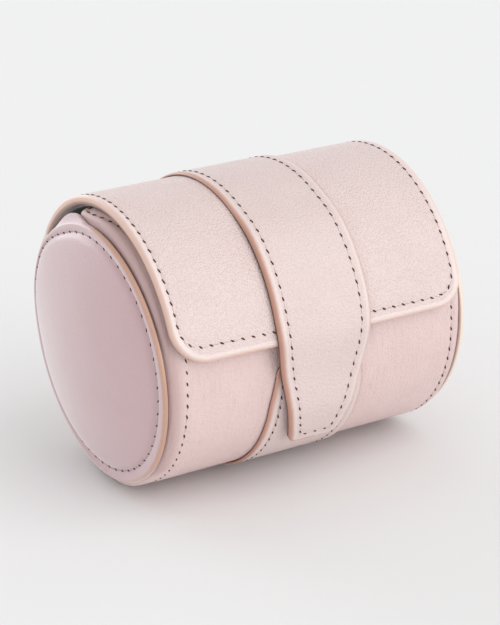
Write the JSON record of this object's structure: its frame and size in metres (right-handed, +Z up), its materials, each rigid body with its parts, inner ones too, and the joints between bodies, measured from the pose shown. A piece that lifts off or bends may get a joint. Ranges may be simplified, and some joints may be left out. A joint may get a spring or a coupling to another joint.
{
  "type": "watch roll",
  "caption": "Round leather roll for carrying a wristwatch on a soft cushion, closed by a wrap-over flap and a tapered strap tongue with a hidden magnet.",
  "frame": {"origin": "middle of the flat patch under the strap, where the roll stands, midway between its two ends", "axes": "+X along the roll from the pictured left end to the right end, -Y towards the front where the tongue closes, +Z up"},
  "size_m": [0.1108, 0.0868, 0.0879],
  "materials": {
    "blush_leather": "satin",
    "stiff_board": "matte",
    "grey_suede": "matte",
    "foam": "matte",
    "magnet_nickel": "polished",
    "plate_steel": "satin"
  },
  "bodies": {
    "base": {"base_leather": "blush_leather", "base_strap": "blush_leather", "left_disc_cover": "blush_leather", "right_disc_cover": "blush_leather", "base_board": "stiff_board", "left_disc_board": "stiff_board", "right_disc_board": "stiff_board", "base_lining": "grey_suede", "left_disc_lining": "grey_suede", "right_disc_lining": "grey_suede", "left_disc_padding": "foam", "right_disc_padding": "foam"},
    "flap": {"flap_leather": "blush_leather", "flap_strap": "blush_leather", "flap_board": "stiff_board", "flap_lining": "grey_suede"},
    "tongue": {"tongue_face": "blush_leather", "tongue_backing": "blush_leather", "tongue_magnet": "magnet_nickel"},
    "front_panel": {"front_leather": "blush_leather", "keeper_strap": "blush_leather", "front_board": "stiff_board", "front_lining": "grey_suede", "keeper_plate": "plate_steel"},
    "cushion": {"cushion_sleeve": "grey_suede", "cushion_end_left": "grey_suede", "cushion_end_right": "grey_suede", "cushion_foam": "foam"}
  },
  "joints": [
    {"name": "flap_open", "type": "hinge", "parent": "base", "child": "flap", "pos_m": [0, 0.03383, 0.07007], "axis": [-1, 0, 0], "range_deg": [0, 150]},
    {"name": "tongue_lift", "type": "hinge", "parent": "flap", "child": "tongue", "pos_m": [0, -0.02023, 0.08428], "axis": [-1, 0, 0], "range_deg": [0, 100]},
    {"name": "front_open", "type": "hinge", "parent": "base", "child": "front_panel", "pos_m": [0, -0.02899, 0.01151], "axis": [1, 0, 0], "range_deg": [0, 82.5]},
    {"name": "cushion_turn", "type": "hinge", "parent": "base", "child": "cushion", "pos_m": [0, 0, 0.031], "axis": [1, 0, 0], "continuous": true}
  ],
  "couplings": [
    {"joint": "front_open", "follows": "flap_open", "ratio": 0.55}
  ]
}
